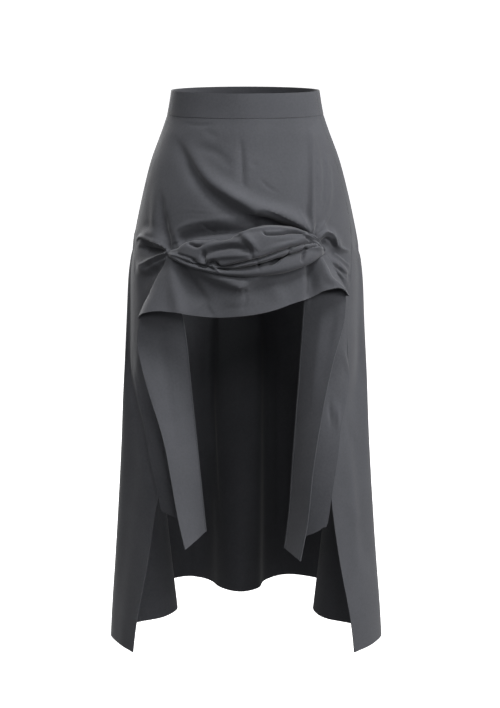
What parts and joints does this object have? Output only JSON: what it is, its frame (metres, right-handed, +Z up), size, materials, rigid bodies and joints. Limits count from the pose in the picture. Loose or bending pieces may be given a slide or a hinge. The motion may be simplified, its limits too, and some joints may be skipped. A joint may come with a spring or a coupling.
{
  "type": "high-low skirt",
  "caption": "Hollow worn high-low skirt with a plain waistband, a swagged front over a short apron, side cascades and a long fluted back.",
  "frame": {"origin": "middle of the waistband's opening, halfway up the band", "axes": "+Z up, the front faces -Y, +X to the viewer's right (the wearer's left)"},
  "size_m": [0.4763, 0.4697, 0.9503],
  "materials": {
    "charcoal_cloth": "matte smooth weave"
  },
  "bodies": {
    "root": {"waistband_front": "charcoal_cloth", "waistband_back": "charcoal_cloth", "front_panel": "charcoal_cloth", "front_swag": "charcoal_cloth", "front_flounce": "charcoal_cloth", "back_panel": "charcoal_cloth"}
  },
  "joints": []
}
